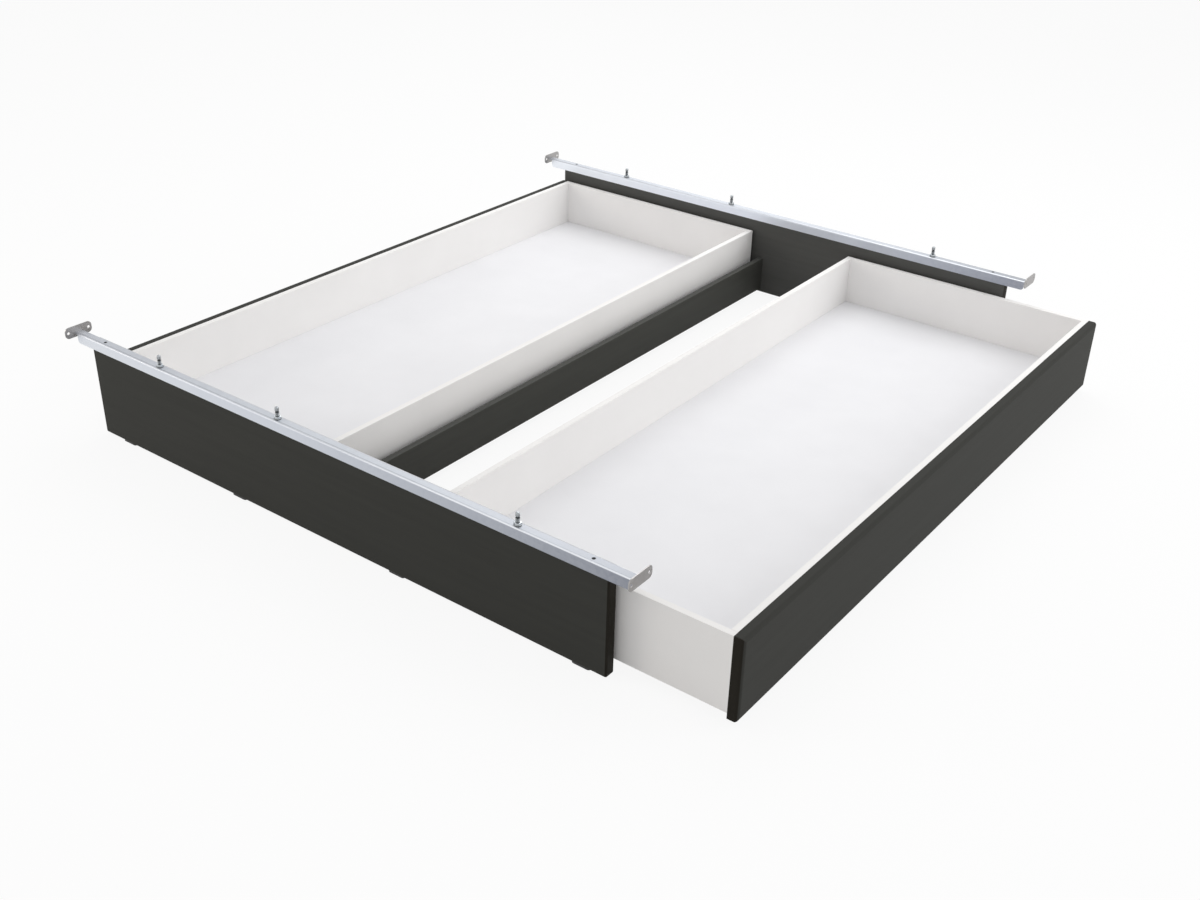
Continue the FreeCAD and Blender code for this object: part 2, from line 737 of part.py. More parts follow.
def drawer_fixings(hand, drawer):
    dowel_spots = []
    for side, heading in ((-1, FOOTWARD), (1, HEADWARD)):
        for x in (box_back_x + size.board / 2, box_front_x - size.board / 2):
            dowel_spots += [(x, inner_half * side, z, heading) for z in dowel_heights]
    keep_in_drawer(group(f"{hand}_drawer_dowels", dowel_master, dowel_spots), drawer)
    front_spots = [(inner_front_x, y, front_screw_z, LEFT) for y in front_screw_places]
    keep_in_drawer(group(f"{hand}_drawer_front_screws", front_screw_master, front_spots), drawer)


def roller_housing():
    """A folded housing about the axle's middle: a plate on the batten and two cheeks beside the roller."""
    body = new_body("roller_housing")
    plate_low = housing_top - size.housing_sheet
    half_x = size.housing_length / 2
    half_y = size.housing_width / 2
    pad(body, "XY", plate_low, housing_top, rectangle, -half_x, half_x, -half_y, half_y)
    round_edges(body, size.housing_corner, runs_along("Z"))
    cheek_inner = size.roller_width / 2 + size.roller_play
    cheek_outer = cheek_inner + size.housing_sheet
    for low, high in ((cheek_inner, cheek_outer), (-cheek_outer, -cheek_inner)):
        pad(body, "XZ", low, high, tapered_ear, size.cheek_radius, size.cheek_top_width / 2, plate_low)
    for face in (cheek_outer, -cheek_outer):
        round_edges(body, size.housing_bend, runs_along("X"), level_is("Y", face), level_is("Z", plate_low))
    drill(body, "XZ", -cheek_outer, cheek_outer, [(ZERO, ZERO)], size.axle_diameter / 2 + size.running_fit)
    drill(body, "XY", plate_low, housing_top, housing_screw_spots,
          size.housing_screw_diameter / 2 + size.running_fit)
    return body


def axle():
    """A riveted axle along Z with its middle at the origin and a head outside each cheek."""
    half = size.roller_width / 2 + size.roller_play + size.housing_sheet
    head = half + size.axle_head_height
    shaft_radius = size.axle_diameter / 2
    head_radius = size.axle_head / 2
    profile = [(ZERO, -head), (head_radius, -head), (head_radius, -half), (shaft_radius, -half),
               (shaft_radius, half), (head_radius, half), (head_radius, head), (ZERO, head)]
    return turned("axle", "XZ", profile)


def roller(label):
    """A roller about Y: hub, thin web and rim, with a bevelled tread."""
    half = size.roller_width / 2
    web = size.roller_web / 2
    bore = size.axle_diameter / 2 + size.running_fit
    hub = size.roller_hub / 2
    rim = roller_radius - size.roller_rim
    profile = [(bore, -half), (hub, -half), (hub, -web), (rim, -web), (rim, -half), (roller_radius, -half),
               (roller_radius, half), (rim, half), (rim, web), (hub, web), (hub, half), (bore, half)]
    body = turned(label, "XY", profile)

    def tread_edge(edge):
        return abs(edge.BoundBox.XMax - roller_radius.value) < TOUCH
    for face in (-half, half):
        bevel_edges(body, size.roller_bevel, level_is("Y", face), tread_edge)
    return body


def rollers(hand, drawer):
    """The four rollers of a drawer, and their housings, axles and screws."""
    spots = [(column, roller_line * side) for column in roller_columns.values() for side in (-1, 1)]
    housing_spots = [(x, y, roller_radius, UP) for x, y in spots]
    keep_in_drawer(group(f"{hand}_drawer_roller_housings", housing_master, housing_spots), drawer)
    axle_spots = [(x, y, roller_radius, HEADWARD) for x, y in spots]
    keep_in_drawer(group(f"{hand}_drawer_roller_axles", axle_master, axle_spots), drawer)
    seat_z = batten_low - size.housing_sheet
    screw_spots = [(x + along, y + across, seat_z, DOWN) for x, y in spots for along, across in housing_screw_spots]
    keep_in_drawer(group(f"{hand}_drawer_housing_screws", housing_screw_master, screw_spots), drawer)
    for column_name, column in roller_columns.items():
        for side in (-1, 1):
            body = roller(f"{hand}_drawer_{column_name}_{end_name(side, drawer)}_roller")
            keep(body, drawer.x + column * drawer.way, unit_y + roller_line * (side * drawer.way), roller_radius)


stud_master = stud()
nut_master = nut()
glide_master = glide()
dowel_master = dowel()
rail_screw_master = sunk_screw()
angle_screw_master = pan_screw("angle_screw", size.angle_screw_diameter, size.angle_screw_length,
                               size.angle_screw_head, size.angle_screw_head_height)
front_screw_master = pan_screw("front_screw", size.front_screw_diameter, size.front_screw_length,
                               size.front_screw_head, size.front_screw_head_height)
housing_screw_master = pan_screw("housing_screw", size.housing_screw_diameter, size.housing_screw_length,
                                 size.housing_screw_head, size.housing_screw_head_height)
housing_master = roller_housing()
axle_master = axle()

for end in PANEL_FACES:
    end_panel(end)
    cross_rail(end)
    end_bracket(end, "left", -1)
    end_bracket(end, "right", 1)
    rail_fixings(end)
centre_board()
centre_angle("foot", 1)
centre_angle("head", -1)
centre_angle_screws()

for hand, drawer in DRAWERS.items():
    drawer_front(hand, drawer)
    box_wall(hand, drawer, "front", inner_front_x, inner_front_x)
    box_wall(hand, drawer, "back", box_back_x, inner_back_x - size.groove_depth)
    for side in (-1, 1):
        box_side(hand, drawer, side)
    drawer_bottom(hand, drawer)
    battens(hand, drawer)
    drawer_fixings(hand, drawer)
    rollers(hand, drawer)

doc.recompute()

for thing in doc.Objects:
    if "Invalid" in thing.State or "Error" in thing.State:
        raise RuntimeError(f"{thing.Label} failed: {thing.State}")
    if thing.TypeId == "PartDesign::Pocket" and thing.Shape.Volume >= thing.BaseFeature.Shape.Volume:
        raise RuntimeError(f"{thing.Label} cuts nothing")
for label, node in nodes.items():
    if node.Shape.isNull() or not node.Shape.isValid():
        raise RuntimeError(f"{label} has no valid shape")

os.makedirs("parts", exist_ok=True)
for label, node in nodes.items():
    node.Shape.exportStep(f"parts/{label}.step")
print(f"{len(nodes)} nodes written")
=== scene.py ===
import json
import math

import bmesh
import bpy
from mathutils import Matrix, Vector


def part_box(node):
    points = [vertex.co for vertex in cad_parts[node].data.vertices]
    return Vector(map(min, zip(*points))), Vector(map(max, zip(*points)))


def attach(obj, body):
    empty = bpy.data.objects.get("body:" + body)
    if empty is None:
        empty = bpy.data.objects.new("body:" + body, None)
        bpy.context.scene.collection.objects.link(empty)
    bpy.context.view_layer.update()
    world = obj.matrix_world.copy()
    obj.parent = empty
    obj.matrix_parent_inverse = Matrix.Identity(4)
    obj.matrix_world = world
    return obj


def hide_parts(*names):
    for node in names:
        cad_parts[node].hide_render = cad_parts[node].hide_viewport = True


# Looks of the storage bed base: laminate, melamine, zinc-plated steel, plastic and raw wood, with threaded
# studs, flange nuts and recessed screws in mesh code. Lengths are in metres, apart from the fasteners' own
# sizes, which are in millimetres until the fasteners are placed.

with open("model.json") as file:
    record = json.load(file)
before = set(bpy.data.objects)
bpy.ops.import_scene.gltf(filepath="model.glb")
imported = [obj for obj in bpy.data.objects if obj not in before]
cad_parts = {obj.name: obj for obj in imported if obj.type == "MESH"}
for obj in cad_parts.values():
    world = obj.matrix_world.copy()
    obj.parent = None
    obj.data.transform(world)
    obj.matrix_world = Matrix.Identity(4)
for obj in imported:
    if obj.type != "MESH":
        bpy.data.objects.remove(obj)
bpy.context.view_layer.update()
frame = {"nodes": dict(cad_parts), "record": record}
nodes = frame["nodes"]
slots = {entry["node"]: entry["material_slot"] for entry in frame["record"]["subparts"]}
bodies = frame["record"]["behaviour"]["bodies"]
carriers = {label: body for body, labels in bodies.items() for label in labels}

MM = 0.001
AXES = "XYZ"


def lowest(label, axis):
    """The low end of a node along one axis."""
    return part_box(label)[0][AXES.index(axis)]


def highest(label, axis):
    """The high end of a node along one axis."""
    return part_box(label)[1][AXES.index(axis)]


# Node materials

BLACK = (0.0, 0.0, 0.0)
WHITE = (1.0, 1.0, 1.0)
# The part of a texture's range that a colour or a value is spread over
TEXTURE_LOW = 0.3
TEXTURE_HIGH = 0.7
UNEVEN_LOW = 0.25
UNEVEN_HIGH = 0.75
# Sockets of the Mix node's colours, which share their names with its other sockets
FIRST_COLOUR = 6
SECOND_COLOUR = 7
MIXED_COLOUR = 2


def shaded(colour, share):
    """A colour made darker or lighter by one share."""
    return tuple(part * share for part in colour)


class Surface:
    """A node material: a principled shader, and textures in the piece's own coordinates in metres."""

    def __init__(self, name, **constants):
        self.material = bpy.data.materials.new(name)
        self.material.use_nodes = True
        self.tree = self.material.node_tree
        self.shader = self.tree.nodes["Principled BSDF"]
        self.place = self.add("ShaderNodeTexCoord").outputs["Object"]
        for socket, value in constants.items():
            self.shader.inputs[socket.replace("_", " ")].default_value = value

    def add(self, kind, inputs=None, **settings):
        """A node with its settings, and with links or plain values at its inputs."""
        node = self.tree.nodes.new(kind)
        for name, value in settings.items():
            setattr(node, name, value)
        for name, value in (inputs or {}).items():
            if isinstance(value, bpy.types.NodeSocket):
                self.tree.links.new(value, node.inputs[name])
            else:
                node.inputs[name].default_value = value
        return node

    def drive(self, socket, value):
        """Links a texture to one of the shader's sockets."""
        self.tree.links.new(value, self.shader.inputs[socket])

    def stretched(self, x, y, z):
        """Coordinates in which a texture is drawn out along the axes with small numbers."""
        return self.add("ShaderNodeMapping", {"Vector": self.place, "Scale": (x, y, z)}).outputs["Vector"]

    def noise(self, scale, detail=3.0, roughness=0.55, distortion=0.0, place=None):
        """Cloudy noise."""
        inputs = {"Vector": place or self.place, "Scale": scale, "Detail": detail,
                  "Roughness": roughness, "Distortion": distortion}
        return self.add("ShaderNodeTexNoise", inputs).outputs["Fac"]

    def cells(self, scale):
        """Cells of one tone each."""
        inputs = {"Vector": self.place, "Scale": scale}
        return self.add("ShaderNodeTexVoronoi", inputs, feature="F1").outputs["Color"]

    def axis(self, name):
        """The place along one axis."""
        return self.add("ShaderNodeSeparateXYZ", {"Vector": self.place}).outputs[name]

    def math(self, operation, first, second=0.0):
        """One step of arithmetic."""
        return self.add("ShaderNodeMath", {0: first, 1: second}, operation=operation).outputs[0]

    def distance(self, axis, middle):
        """The distance along one axis from a middle."""
        return self.math("ABSOLUTE", self.math("SUBTRACT", self.axis(axis), middle))

    def blend(self, first, second, share):
        """A weighted mean of two textures."""
        return self.math("ADD", self.math("MULTIPLY", first, 1 - share), self.math("MULTIPLY", second, share))

    def ramp(self, factor, stops):
        """A colour ramp from pairs of a position and a colour."""
        node = self.add("ShaderNodeValToRGB", {"Fac": factor})
        elements = node.color_ramp.elements
        while len(elements) < len(stops):
            elements.new(1.0)
        for element, (position, colour) in zip(elements, stops):
            element.position = position
            element.color = (*colour, 1.0)
        return node.outputs["Color"]

    def between(self, tone, low, high):
        """A colour between those of a texture's dark and light parts."""
        return self.ramp(tone, [(TEXTURE_LOW, low), (TEXTURE_HIGH, high)])

    def uneven(self, tone, colour, contrast):
        """A colour that a texture makes darker and lighter by the same share."""
        darker, lighter = shaded(colour, 1 - contrast), shaded(colour, 1 + contrast)
        return self.ramp(tone, [(UNEVEN_LOW, darker), (UNEVEN_HIGH, lighter)])

    def spread(self, factor, low, high, start=TEXTURE_LOW, end=TEXTURE_HIGH):
        """A texture, or a place along an axis, mapped to a range of values."""
        inputs = {"Value": factor, "From Min": start, "From Max": end, "To Min": low, "To Max": high}
        return self.add("ShaderNodeMapRange", inputs).outputs["Result"]

    def past(self, place, start, end):
        """Nil before the start and one past the end."""
        return self.spread(place, 0.0, 1.0, start, end)

    def before(self, place, start, end):
        """One before the start and nil past the end."""
        return self.spread(place, 1.0, 0.0, start, end)

    def mix(self, factor, first, second, blend_type="MIX"):
        """Two colours mixed by a factor."""
        inputs = {"Factor": factor, FIRST_COLOUR: first, SECOND_COLOUR: second}
        node = self.add("ShaderNodeMix", inputs, data_type="RGBA", blend_type=blend_type)
        return node.outputs[MIXED_COLOUR]

    def times(self, first, second):
        """One colour multiplied by another."""
        return self.mix(1.0, first, second, "MULTIPLY")

    def bump(self, height, strength, distance):
        """Fine relief from a texture."""
        node = self.add("ShaderNodeBump", {"Height": height, "Strength": strength, "Distance": distance})
        self.drive("Normal", node.outputs["Normal"])


# Dark laminate

ANTHRACITE = (0.042, 0.0424, 0.0382)
# Painted bounce light on the end panels' inner faces
BOUNCE_LIT_GREY = (0.085, 0.085, 0.081)
DARK_BAND = (0.016, 0.014, 0.0105)
# A painted highlight along the centre board's top and bottom edges
PAINTED_HIGHLIGHT_BAND = (0.082, 0.083, 0.078)
# A pale strip painted over the shaded top edge beside the rail, standing in for a deeper web
PAINTED_TOP_STRIP = (0.60, 0.61, 0.63, 1.0)
GRAIN_STRETCH = {"X": (3, 60, 60), "Y": (60, 3, 60)}
FACE_CONTRAST = 0.1
BAND_CONTRAST = 0.12
LAMINATE_RELIEF = 0.15 * MM
BAND_FADE = 1.0 * MM
PANEL_BAND = 4.5 * MM
FRONT_BAND = 3.0 * MM
CENTRE_BAND = 1.5 * MM
# The painted bounce light's paler grey on the inner face fades out between these depths in the panel
INNER_FADE = (1.0 * MM, 3.0 * MM)
# The pale painted strip ends between these depths in the panel, and starts between these depths below its top
STRIP_END = (9.0 * MM, 10.0 * MM)
STRIP_DROP = (4.5 * MM, 3.5 * MM)


def inner_side(surface, colour, tone, middle, reach, top):
    """Painted bounce light on the end panels' inner faces, a paler grey, and a pale strip painted over their
    shaded top edge beside the rail, standing in for a deeper web of the rail.
    """
    depth = surface.distance("Y", middle)
    on_inner = surface.before(depth, *(reach + fade for fade in INNER_FADE))
    beside_rail = surface.before(depth, *(reach + end for end in STRIP_END))
    on_top = surface.past(surface.axis("Z"), *(top - drop for drop in STRIP_DROP))
    colour = surface.mix(on_inner, colour, surface.uneven(tone, BOUNCE_LIT_GREY, FACE_CONTRAST))
    return surface.mix(surface.math("MULTIPLY", beside_rail, on_top), colour, PAINTED_TOP_STRIP)


def dark_laminate(name, grain_axis, lit_share, edge, band, inside=None):
    """Anthracite laminate: faint streaks along the board, a fine pearl grain and edge bands, which on the
    centre board are a painted highlight.
    """
    surface = Surface(name, Specular_IOR_Level=0.07)
    streaks = surface.noise(scale=1.0, detail=6.0, place=surface.stretched(*GRAIN_STRETCH[grain_axis]))
    pearl = surface.noise(scale=900.0, detail=2.0)
    tone = surface.blend(streaks, pearl, share=0.4)
    # The anthracite made darker or lighter by a painted lit share
    face = surface.uneven(tone, shaded(ANTHRACITE, lit_share), FACE_CONTRAST)
    edge_axis, middle, start = edge
    on_band = surface.past(surface.distance(edge_axis, middle), start, start + BAND_FADE)
    colour = surface.mix(on_band, face, surface.uneven(tone, band, BAND_CONTRAST))
    if inside:
        colour = inner_side(surface, colour, tone, *inside)
    surface.drive("Base Color", colour)
    surface.drive("Roughness", surface.spread(pearl, low=0.55, high=0.65))
    surface.bump(tone, strength=0.25, distance=LAMINATE_RELIEF)
    return surface.material


def ends_of(label, axis, depth):
    """The edge bands of a board: their axis, the board's middle and how far from it they start."""
    low, high = lowest(label, axis), highest(label, axis)
    return axis, (low + high) / 2, (high - low) / 2 - depth


def between_panels():
    """The middle between the end panels, how far their inner faces lie from it, and their top."""
    low, high = highest("foot_end_panel", "Y"), lowest("head_end_panel", "Y")
    return (low + high) / 2, (high - low) / 2, highest("foot_end_panel", "Z")


# Coated board, wood and plastic

MELAMINE = ((0.835, 0.823, 0.812), (0.875, 0.863, 0.852))
COATED_BOTTOM = ((0.79, 0.79, 0.81), (0.83, 0.83, 0.85))
PLANED_WOOD = [(0.3, (0.42, 0.27, 0.14)), (0.5, (0.60, 0.43, 0.25)), (0.72, (0.70, 0.54, 0.34))]
BLACK_PLASTIC = ((0.016, 0.016, 0.016), (0.028, 0.028, 0.028))
ROLLER_NYLON = ((0.035, 0.036, 0.038), (0.06, 0.061, 0.064))
RING_STRETCH = (4, 160, 90)
PORE_STRETCH = (25, 1500, 1500)
MELAMINE_RELIEF = 0.1 * MM
WOOD_RELIEF = 0.2 * MM
PLASTIC_RELIEF = 0.1 * MM


def white_melamine(name, low, high):
    """White coated board: a barely uneven tone, a satin sheen and a fine pebbled face."""
    surface = Surface(name, Specular_IOR_Level=0.3)
    clouds = surface.noise(scale=6.0, detail=4.0)
    pebble = surface.noise(scale=1100.0, detail=2.0)
    surface.drive("Base Color", surface.between(surface.blend(clouds, pebble, share=0.35), low, high))
    surface.drive("Roughness", surface.spread(pebble, low=0.5, high=0.62))
    surface.bump(pebble, strength=0.16, distance=MELAMINE_RELIEF)
    return surface.material


def raw_wood(name):
    """Planed light wood with growth rings drawn out along the batten."""
    surface = Surface(name, Roughness=0.62, Specular_IOR_Level=0.35)
    ring_place = surface.stretched(*RING_STRETCH)
    rings = surface.noise(scale=1.0, detail=7.0, roughness=0.6, distortion=0.6, place=ring_place)
    pores = surface.noise(scale=1.0, detail=3.0, place=surface.stretched(*PORE_STRETCH))
    grain = surface.blend(rings, pores, share=0.3)
    surface.drive("Base Color", surface.ramp(grain, PLANED_WOOD))
    surface.bump(grain, strength=0.25, distance=WOOD_RELIEF)
    return surface.material


def moulded_plastic(name, low, high, smooth, rough):
    """Moulded plastic with a fine spark-eroded grain and faint flow marks."""
    surface = Surface(name, Specular_IOR_Level=0.5)
    erosion = surface.noise(scale=1500.0, detail=2.0)
    flow = surface.noise(scale=40.0, detail=3.0, distortion=1.0)
    surface.drive("Base Color", surface.between(surface.blend(erosion, flow, share=0.5), low, high))
    surface.drive("Roughness", surface.spread(erosion, smooth, rough))
    surface.bump(erosion, strength=0.2, distance=PLASTIC_RELIEF)
    return surface.material


# Metal

BLUISH_ZINC = [(0.25, (0.58, 0.61, 0.66)), (0.5, (0.65, 0.68, 0.72)), (0.8, (0.72, 0.745, 0.78))]
WARM_ZINC = [(0.25, (0.34, 0.33, 0.325)), (0.5, (0.40, 0.39, 0.385)), (0.8, (0.47, 0.46, 0.455))]
WORN_ZINC = (0.86, 0.87, 0.89, 1.0)
WORN_SHARE = 0.16
TURNED_ZINC = ((0.56, 0.585, 0.61), (0.74, 0.76, 0.78))
# The tint of the painted shade and reflection bands on turned steel
PAINTED_SHADE_TINT = (0.97, 0.99, 1.0)
BLACK_OXIDE = ((0.012, 0.012, 0.014), (0.03, 0.03, 0.032))
ROLLING_STRETCH = (6, 900, 900)
TURNING_STRETCH = (300, 300, 2500)
SHEET_RELIEF = 0.05 * MM
TURNING_RELIEF = 0.05 * MM

# The plating along a rail, with its painted reflection, from about its left end to about its right end
RAIL_SPAN = (-1.0, 0.8)
# Painted reflection on the flange: light at the left end, dark at the right
FLANGE_REFLECTION = [
    (0.0, (0.70, 0.73, 0.78)), (0.45, (0.60, 0.63, 0.69)),
    (0.75, (0.40, 0.425, 0.48)), (1.0, (0.24, 0.255, 0.30))]
# Painted reflection on the web, darker towards the right end
WEB_REFLECTION = [
    (0.0, (0.47, 0.49, 0.53)), (0.5, (0.485, 0.51, 0.55)), (0.73, (0.448, 0.47, 0.508)),
    (0.86, (0.387, 0.405, 0.44)), (1.0, (0.30, 0.315, 0.345))]
# A painted highlight along the fold between flange and web, brightest towards the right end
FOLD_HIGHLIGHT = [
    (0.0, (0.46, 0.48, 0.52)), (0.5, (0.49, 0.515, 0.555)),
    (0.7, (0.68, 0.705, 0.745)), (1.0, (0.72, 0.745, 0.785))]
# A painted shade line on the web beside the fold, darkest at the left end
FOLD_SHADE_LINE = [
    (0.0, (0.66, 0.66, 0.67)), (0.55, (0.68, 0.68, 0.69)),
    (0.8, (0.88, 0.88, 0.89)), (1.0, (0.93, 0.93, 0.94))]
# Depths below a rail's top between which the flange turns into the web, and the painted highlight on the fold
# shows
WEB_DROP = (3.5 * MM, 0.5 * MM)
FOLD_DROP = (2.8 * MM, 0.05 * MM)
FOLD_STOPS = [(0.0, BLACK), (0.3, WHITE), (0.9, WHITE), (1.0, BLACK)]
# The depth behind a rail's front in which the painted shade line beside the fold lies, and its place there
LINE_REACH = 10.0 * MM
LINE_STOPS = [(0.36, BLACK), (0.42, WHITE), (0.58, WHITE), (0.64, BLACK)]

# Shares of the brightness up a piece, from its lower level to its upper one: painted shade and reflection
# bands on the studs and nuts, darkest in the neck and at the nut's foot, and a slight change by height on the
# other screws
STUD_SHADE_SHARES = [(0.23, 0.2), (0.32, 0.5), (0.53, 0.4), (0.58, 0.06), (0.67, 0.08), (0.7, 0.42), (0.9, 0.6)]
NUT_SHADE_SHARES = [(0.0, 0.12), (0.2, 0.25), (0.3, 0.5), (0.85, 0.8), (1.0, 1.0)]
SCREW_SHARES = [(0.0, 0.65), (0.5, 0.8), (1.0, 0.7)]


def sheet_tone(surface):
    """Spangle, haze and rolling lines of plated sheet, and the rolling lines alone."""
    spangle = surface.cells(scale=140.0)
    rolling = surface.noise(scale=1.0, detail=4.0, place=surface.stretched(*ROLLING_STRETCH))
    haze = surface.noise(scale=9.0, detail=3.0)
    return surface.blend(surface.blend(spangle, haze, share=0.6), rolling, share=0.35), rolling


def zinc_sheet(name, stops):
    """Zinc-plated sheet steel: rolling lines along the sheet and a soft spangle."""
    surface = Surface(name, Metallic=1.0)
    tone, rolling = sheet_tone(surface)
    surface.drive("Base Color", surface.ramp(tone, stops))
    surface.drive("Roughness", surface.spread(tone, low=0.36, high=0.5))
    surface.bump(rolling, strength=0.1, distance=SHEET_RELIEF)
    return surface.material


def zinc_rail(name, label, flange_reflection_share):
    """A rail's zinc with painted reflection: flange and web light at the left end and dark at the right, a
    painted highlight on the fold and a painted shade line beside it on the web.
    """
    surface = Surface(name, Metallic=1.0)
    tone, rolling = sheet_tone(surface)
    front, top = lowest(label, "Y"), highest(label, "Z")
    along = surface.past(surface.axis("X"), *RAIL_SPAN)
    # The flange's painted reflection, scaled by its reflection share
    flange = surface.ramp(along, [(place, shaded(colour, flange_reflection_share)) for place, colour in FLANGE_REFLECTION])
    height = surface.axis("Z")
    on_web = surface.past(height, *(top - drop for drop in WEB_DROP))
    on_fold_highlight = surface.ramp(surface.past(height, *(top - drop for drop in FOLD_DROP)), FOLD_STOPS)
    on_shade_line = surface.ramp(surface.past(surface.axis("Y"), front, front + LINE_REACH), LINE_STOPS)
    # The flange and the web carry their painted reflection along the rail
    sheet = surface.mix(on_web, flange, surface.ramp(along, WEB_REFLECTION))
    shade_lined = surface.mix(on_shade_line, sheet, surface.times(sheet, surface.ramp(along, FOLD_SHADE_LINE)))
    plating_and_reflection = surface.mix(on_fold_highlight, shade_lined, surface.ramp(along, FOLD_HIGHLIGHT))
    worn = surface.spread(tone, low=0.0, high=WORN_SHARE)
    surface.drive("Base Color", surface.mix(worn, plating_and_reflection, WORN_ZINC))
    surface.drive("Roughness", surface.spread(tone, low=0.46, high=0.58))
    surface.bump(rolling, strength=0.1, distance=SHEET_RELIEF)
    return surface.material


def bright_steel(name, lower, upper, shares):
    """Zinc-plated turned steel: fine turning lines, and brightness shares by height, which on the studs and
    nuts are painted shade and reflection bands.
    """
    surface = Surface(name, Metallic=1.0)
    turning = surface.noise(scale=1.0, detail=3.0, place=surface.stretched(*TURNING_STRETCH))
    haze = surface.noise(scale=60.0, detail=3.0)
    tone = surface.blend(turning, haze, share=0.5)
    height = surface.past(surface.axis("Z"), lower, upper)
    # Painted shade and reflection by height
    painted_shade = surface.ramp(height, [(position, shaded(PAINTED_SHADE_TINT, share)) for position, share in shares])
    surface.drive("Base Color", surface.times(surface.between(tone, *TURNED_ZINC), painted_shade))
    surface.drive("Roughness", surface.spread(tone, low=0.2, high=0.32))
    surface.bump(turning, strength=0.08, distance=TURNING_RELIEF)
    return surface.material


def black_oxide(name):
    """Blackened steel, a little blotchy."""
    surface = Surface(name, Metallic=0.85)
    blotch = surface.noise(scale=700.0, detail=3.0)
    surface.drive("Base Color", surface.between(blotch, *BLACK_OXIDE))
    surface.drive("Roughness", surface.spread(blotch, low=0.4, high=0.6))
    return surface.material


# Finishes of the nodes: by the ending of a node's name, or else by its slot

web_level = highest("foot_cross_rail", "Z")
stud_level = highest("foot_rail_studs", "Z")
nut_level = highest("foot_rail_nuts", "Z")
panel_ends = ends_of("foot_end_panel", "X", PANEL_BAND)
front_ends = ends_of("right_drawer_front", "Y", FRONT_BAND)
# The centre board's edge bands are a painted highlight along its top and bottom edges
centre_edges = ends_of("centre_board", "Z", CENTRE_BAND)
# The fronts and the centre board carry shaded and lit copies of the panels' anthracite: lit shares 0.9 and
# 1.2
finishes = {
    "end_panel": dark_laminate("panel_laminate", "X", 1.0, panel_ends, DARK_BAND, between_panels()),
    "drawer_front": dark_laminate("front_laminate", "Y", 0.9, front_ends, DARK_BAND),
    "centre_board": dark_laminate("centre_laminate", "Y", 1.2, centre_edges, PAINTED_HIGHLIGHT_BAND),
    "rail_studs": bright_steel("stud_steel", web_level, stud_level, STUD_SHADE_SHARES),
    "rail_nuts": bright_steel("nut_steel", web_level, nut_level, NUT_SHADE_SHARES),
    # The head rail's flange carries a lighter copy of the painted reflection
    "foot_cross_rail": zinc_rail("foot_rail_zinc", "foot_cross_rail", flange_reflection_share=1.0),
    "head_cross_rail": zinc_rail("head_rail_zinc", "head_cross_rail", flange_reflection_share=1.15),
    "end_bracket": zinc_sheet("bracket_zinc", WARM_ZINC),
}
materials = {
    "white_laminate": white_melamine("melamine", *MELAMINE),
    "white_board": white_melamine("coated_bottom", *COATED_BOTTOM),
    "raw_wood": raw_wood("raw_wood"),
    "zinc_steel": zinc_sheet("zinc_sheet", BLUISH_ZINC),
    "bright_steel": bright_steel("bright_steel", 0.0, web_level, SCREW_SHARES),
    "black_screw": black_oxide("black_oxide"),
    "black_plastic": moulded_plastic("black_plastic", *BLACK_PLASTIC, smooth=0.49, rough=0.61),
    "roller_nylon": moulded_plastic("roller_nylon", *ROLLER_NYLON, smooth=0.39, rough=0.51),
}


def finish_of(label):
    """The finish of a node's kind where it has one, and otherwise its slot's."""
    for ending, finish in finishes.items():
        if label.endswith(ending):
            return finish
    return materials[slots[label]]


def dress(thing, material):
    """Gives an object one material."""
    thing.data.materials.clear()
    thing.data.materials.append(material)


for label in slots:
    dress(nodes[label], finish_of(label))


# Turned shapes in millimetres, about Z

def bridge(mesh, lower, upper):
    """Faces between two rings, either of which may be a single point on the axis."""
    count = max(len(lower), len(upper))
    for step in range(count):
        following = (step + 1) % count
        corners = [lower[step % len(lower)], lower[following % len(lower)],
                   upper[following % len(upper)], upper[step % len(upper)]]
        mesh.faces.new(list(dict.fromkeys(corners)))


def ring(mesh, count, radius, height):
    """One ring of points; radius and height are functions of the turn or plain numbers."""
    if radius == 0:
        return [mesh.verts.new((0, 0, height))]
    row = []
    for step in range(count):
        turn = 2 * math.pi * step / count
        reach = radius(turn) if callable(radius) else radius
        level = height(turn) if callable(height) else height
        row.append(mesh.verts.new((reach * math.cos(turn), reach * math.sin(turn), level)))
    return row


def turned(mesh, count, profile):
    """Joined rings along a profile of radii and heights; gives back the rings."""
    rows = [ring(mesh, count, radius, height) for radius, height in profile]
    for lower, upper in zip(rows, rows[1:]):
        bridge(mesh, lower, upper)
    return rows


def threaded(radius, depth, pitch, height):
    """The radius of a right-hand thread at one height, as a function of the turn."""
    def reach(turn):
        phase = height / pitch - turn / (2 * math.pi)
        return radius - depth * (0.5 - 0.5 * math.cos(2 * math.pi * phase))
    return reach


def thread(radius, depth, pitch, low, high, steps=6):
    """Profile points of a thread that fades out over one turn at both ends."""
    count = round((high - low) / pitch * steps)
    points = []
    for step in range(count + 1):
        height = low + (high - low) * step / count
        fade = min(1.0, (height - low) / pitch, (high - height) / pitch)
        points.append((threaded(radius, depth * fade, pitch, height), height))
    return points


def corner_arc(radius, height, bend, steps=5):
    """A quarter round from the side at the given radius to the top at the given height."""
    points = []
    for step in range(steps + 1):
        turn = math.pi / 2 * step / steps
        points.append((radius - bend + bend * math.cos(turn), height - bend + bend * math.sin(turn)))
    return points


def hexagon(across):
    """The radius of a hexagon, as a function of the turn."""
    def reach(turn):
        return across / 2 / math.cos((turn + math.pi / 6) % (math.pi / 3) - math.pi / 6)
    return reach


RECESS_FLOOR_SHARE = 0.5
RECESS_FLOOR_DIP = 0.15


